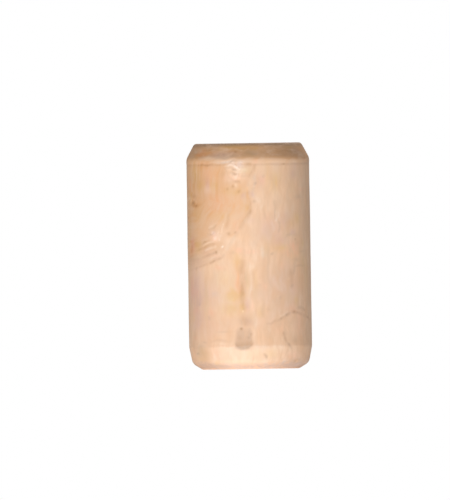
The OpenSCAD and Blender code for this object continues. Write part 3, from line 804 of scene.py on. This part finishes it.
# %% Build the skin
px = (ring_r + relief * out_r) * np.sin(point_turn)
py = -(ring_r + relief * out_r) * np.cos(point_turn)
pz = np.clip(height + relief * out_z, 0, LENGTH)
verts = np.column_stack([px, py, pz]) * MM
verts = np.vstack([verts, [(0, 0, 0), (0, 0, LENGTH * MM)]])
foot_middle, head_middle = len(verts) - 2, len(verts) - 1
faces = []
for row in range(len(section) - 1):
    for col in range(COLUMNS):
        a, b = row * COLUMNS + col, row * COLUMNS + (col + 1) % COLUMNS
        faces.append((a, b, b + COLUMNS, a + COLUMNS))
last = (len(section) - 1) * COLUMNS
for col in range(COLUMNS):
    after = (col + 1) % COLUMNS
    faces.append((foot_middle, after, col))
    faces.append((head_middle, last + col, last + after))
mesh = bpy.data.meshes.new("foam_skin")
mesh.from_pydata(verts.tolist(), [], faces)
mesh.polygons.foreach_set("use_smooth", [True] * len(mesh.polygons))
mesh.update()
skin = bpy.data.objects.new("foam_skin", mesh)
bpy.context.scene.collection.objects.link(skin)
for name, mask in masks.items():
    middles = [mask[:COLUMNS].mean(), mask[-COLUMNS:].mean()]
    layer = mesh.attributes.new(name, "FLOAT", "POINT")
    layer.data.foreach_set("value", np.append(mask, middles).astype(np.float32))
print("faces", len(mesh.polygons))

# %% [markdown]
# The material starts from the plain foam and multiplies it by each tint where its mask says so.
# Mixing in fixed colours would cover what lies below. A tint that is a set of factors on red, green
# and blue lets the marbling show through every patch, as it does in the real foam, where the colour
# lies in the skin and not on it.

# %% Foam material
FOAM = (0.89, 0.6, 0.405)
# Some tints also carry painted light: white mostly paints highlights, cream partly the highlight on the
# foot's taper and ripple lips, and tan, taupe and ash partly the shade on the head bevel, its rim, beside the
# wrinkles and at the foot's edge.
TINTS = {
    "pale_vein": (1.08, 1.10, 1.13), "warm_vein": (1.0, 0.955, 0.9), "tan": (0.865, 0.755, 0.62),
    "mauve": (0.93, 0.9, 1.0), "rose": (1.05, 0.95, 0.93), "ochre": (0.97, 0.95, 0.78),
    "orange": (0.98, 0.87, 0.7), "cream": (1.04, 1.12, 1.22), "ash": (0.87, 0.95, 1.08),
    # hollow_darkening darkens the creases, pits and the ring groove.
    "taupe": (0.83, 0.81, 0.79), "brown": (0.74, 0.66, 0.56), "hollow_darkening": (0.66, 0.58, 0.52),
    "white": (1.15, 1.3, 1.5),
}
foam = bpy.data.materials.new("foam_skin")
foam.use_nodes = True
nodes, links = foam.node_tree.nodes, foam.node_tree.links
shader = nodes["Principled BSDF"]
colour = None
for tint, factors in TINTS.items():
    mask = nodes.new("ShaderNodeAttribute")
    mask.attribute_name = tint
    blend = nodes.new("ShaderNodeMix")
    blend.data_type = "RGBA"
    blend.blend_type = "MULTIPLY"
    blend.clamp_result = False
    a, b = blend.inputs[6], blend.inputs[7]
    a.default_value = FOAM + (1.0,)
    b.default_value = factors + (1.0,)
    links.new(mask.outputs["Fac"], blend.inputs[0])
    if colour is not None:
        links.new(colour, a)
    colour = blend.outputs[2]
links.new(colour, shader.inputs["Base Color"])
mesh.materials.append(foam)
print("tints:", len(TINTS), "masks without a tint:", sorted(set(masks) - set(TINTS)))

# %% [markdown]
# The skin is satin, a little duller in some places than in others, and a fine orange peel breaks up
# the highlight. Its smallest grains are finer than the facets of the mesh, so a Bump node makes them,
# while every mark that can be seen as a shape is real relief.

# %% Gloss and orange peel
def settings(node, values):
    for name, value in values.items():
        node.inputs[name].default_value = value
    return node


SATIN, DULL = 0.5, 0.62
PEEL_DEPTH = 0.03 * MM
place_on = nodes.new("ShaderNodeTexCoord")
sheen_noise = settings(nodes.new("ShaderNodeTexNoise"), {"Scale": 350, "Detail": 4})
links.new(place_on.outputs["Object"], sheen_noise.inputs["Vector"])
gloss = settings(nodes.new("ShaderNodeMapRange"),
                 {"From Min": 0.3, "From Max": 0.7, "To Min": SATIN, "To Max": DULL})
links.new(sheen_noise.outputs["Fac"], gloss.inputs["Value"])
links.new(gloss.outputs["Result"], shader.inputs["Roughness"])
peel = settings(nodes.new("ShaderNodeTexNoise"), {"Scale": 1600, "Detail": 5, "Roughness": 0.6})
links.new(place_on.outputs["Object"], peel.inputs["Vector"])
bump = settings(nodes.new("ShaderNodeBump"), {"Strength": 0.5, "Distance": PEEL_DEPTH})
links.new(peel.outputs["Fac"], bump.inputs["Height"])
links.new(bump.outputs["Normal"], shader.inputs["Normal"])
settings(shader, {"Specular IOR Level": 0.3})
print("material nodes:", len(nodes))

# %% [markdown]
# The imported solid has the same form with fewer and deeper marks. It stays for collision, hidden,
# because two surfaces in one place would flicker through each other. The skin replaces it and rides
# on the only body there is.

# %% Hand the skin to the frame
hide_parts("stopper")
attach(skin, "root")
print("the skin rides on root and stands for the packed solid")

# %% [markdown]
# The table is a plain pale sheet. A bright table top throws light up at the foot. Bounced light is
# slow and grainy to render, so a lamp below the table does it, and the table is hidden from shadow
# rays to let it through. To the camera alone the table also glows a little, which keeps it nearly
# white, and it still shows the stopper's shadow.

# %% Floor
FLOOR = 0.6
floor_mesh = bpy.data.meshes.new("floor")
floor_corners = [(-FLOOR, -FLOOR, 0), (FLOOR, -FLOOR, 0), (FLOOR, FLOOR, 0), (-FLOOR, FLOOR, 0)]
floor_mesh.from_pydata(floor_corners, [], [(0, 1, 2, 3)])
floor = bpy.data.objects.new("floor", floor_mesh)
bpy.context.scene.collection.objects.link(floor)
floor.visible_shadow = False
white = bpy.data.materials.new("white_table")
white.use_nodes = True
tn, tl = white.node_tree.nodes, white.node_tree.links
table = tn["Principled BSDF"]
settings(table, {"Base Color": (0.85, 0.85, 0.85, 1), "Roughness": 0.8, "Emission Color": (1, 1, 1, 1)})
TABLE_GLOW = 0.4
table_seen = tn.new("ShaderNodeMath")
table_seen.operation = "MULTIPLY"
table_seen.inputs[1].default_value = TABLE_GLOW
tl.new(tn.new("ShaderNodeLightPath").outputs["Is Camera Ray"], table_seen.inputs[0])
tl.new(table_seen.outputs["Value"], table.inputs["Emission Strength"])
floor_mesh.materials.append(white)
print(f"floor {2 * FLOOR} m wide")

# %% [markdown]
# A white world at full strength would light the stopper from all sides and wash out its relief. So
# the air of the studio is white to the camera only, and much dimmer to everything it lights.

# %% World
AMBIENT = 0.2
world = bpy.data.worlds.new("studio")
bpy.context.scene.world = world
world.use_nodes = True
wn, wl = world.node_tree.nodes, world.node_tree.links
air = settings(wn["Background"], {"Color": (1, 1, 1, 1)})
light_path = wn.new("ShaderNodeLightPath")
seen = settings(wn.new("ShaderNodeMapRange"), {"To Min": AMBIENT, "To Max": 1.0})
wl.new(light_path.outputs["Is Camera Ray"], seen.inputs["Value"])
wl.new(seen.outputs["Result"], air.inputs["Strength"])
print("ambient strength", AMBIENT)

# %% [markdown]
# Two soft lamps are enough. The main one stands low in front, so the head bevel falls into shade
# and the foot lights up. The second, high behind, gives the head face and the back their light. Area
# lamps are used, because a point or sun lamp would give the satin skin hard highlights.

# %% Lamps
def lamp(name, turn_deg, rise_deg, distance, wide, high, strength):
    """An area lamp aimed at the middle of the stopper. A strength of 1 lights a facing white card to 1."""
    a, e = math.radians(turn_deg), math.radians(rise_deg)
    away = Vector((math.sin(a) * math.cos(e), -math.cos(a) * math.cos(e), math.sin(e)))
    data = bpy.data.lights.new(name, "AREA")
    data.shape = "RECTANGLE"
    data.size, data.size_y = wide, high
    data.energy = strength * math.pi ** 2 * distance ** 2
    piece = bpy.data.objects.new(name, data)
    piece.location = Vector((0, 0, LENGTH / 2 * MM)) + away * distance
    piece.rotation_mode = "QUATERNION"
    piece.rotation_quaternion = away.to_track_quat("Z", "Y")
    bpy.context.scene.collection.objects.link(piece)
    print(f"{name}: {data.energy:.1f} W from {distance} m")


lamp("low_front_lamp", turn_deg=-13, rise_deg=-31, distance=1.0, wide=0.7, high=0.2, strength=0.9)
lamp("high_back_lamp", turn_deg=170, rise_deg=55, distance=0.6, wide=0.4, high=0.4, strength=0.6)

# %% [markdown]
# The camera looks straight at the wall from the front. A very long lens would do, and an orthographic
# camera is its limit: both ends of the stopper keep their true size. It leans by under a degree.

# %% Camera
RENDER_PX = (450, 500)
STOPPER_AT = (249.28, 256.0)
PIXELS_PER_MM = 5.459
ROLL = math.radians(-0.9)
pixel = MM / PIXELS_PER_MM
camera_data = bpy.data.cameras.new("camera")
camera_data.type = "ORTHO"
camera_data.ortho_scale = RENDER_PX[1] * pixel
camera = bpy.data.objects.new("camera", camera_data)
bpy.context.scene.collection.objects.link(camera)
bpy.context.scene.camera = camera
turned = Matrix.Rotation(math.pi / 2, 4, "X") @ Matrix.Rotation(ROLL, 4, "Z")
right = (STOPPER_AT[0] - RENDER_PX[0] / 2) * pixel
down = (STOPPER_AT[1] - RENDER_PX[1] / 2) * pixel
middle = Vector((0, 0, LENGTH / 2 * MM))
STAND_OFF = 0.5
camera.matrix_world = Matrix.Translation(middle) @ turned @ Matrix.Translation((-right, down, STAND_OFF))
bpy.context.scene.view_settings.view_transform = "Standard"
print(f"the camera sees {RENDER_PX[0] * pixel / MM:.0f} by {RENDER_PX[1] * pixel / MM:.0f} mm")
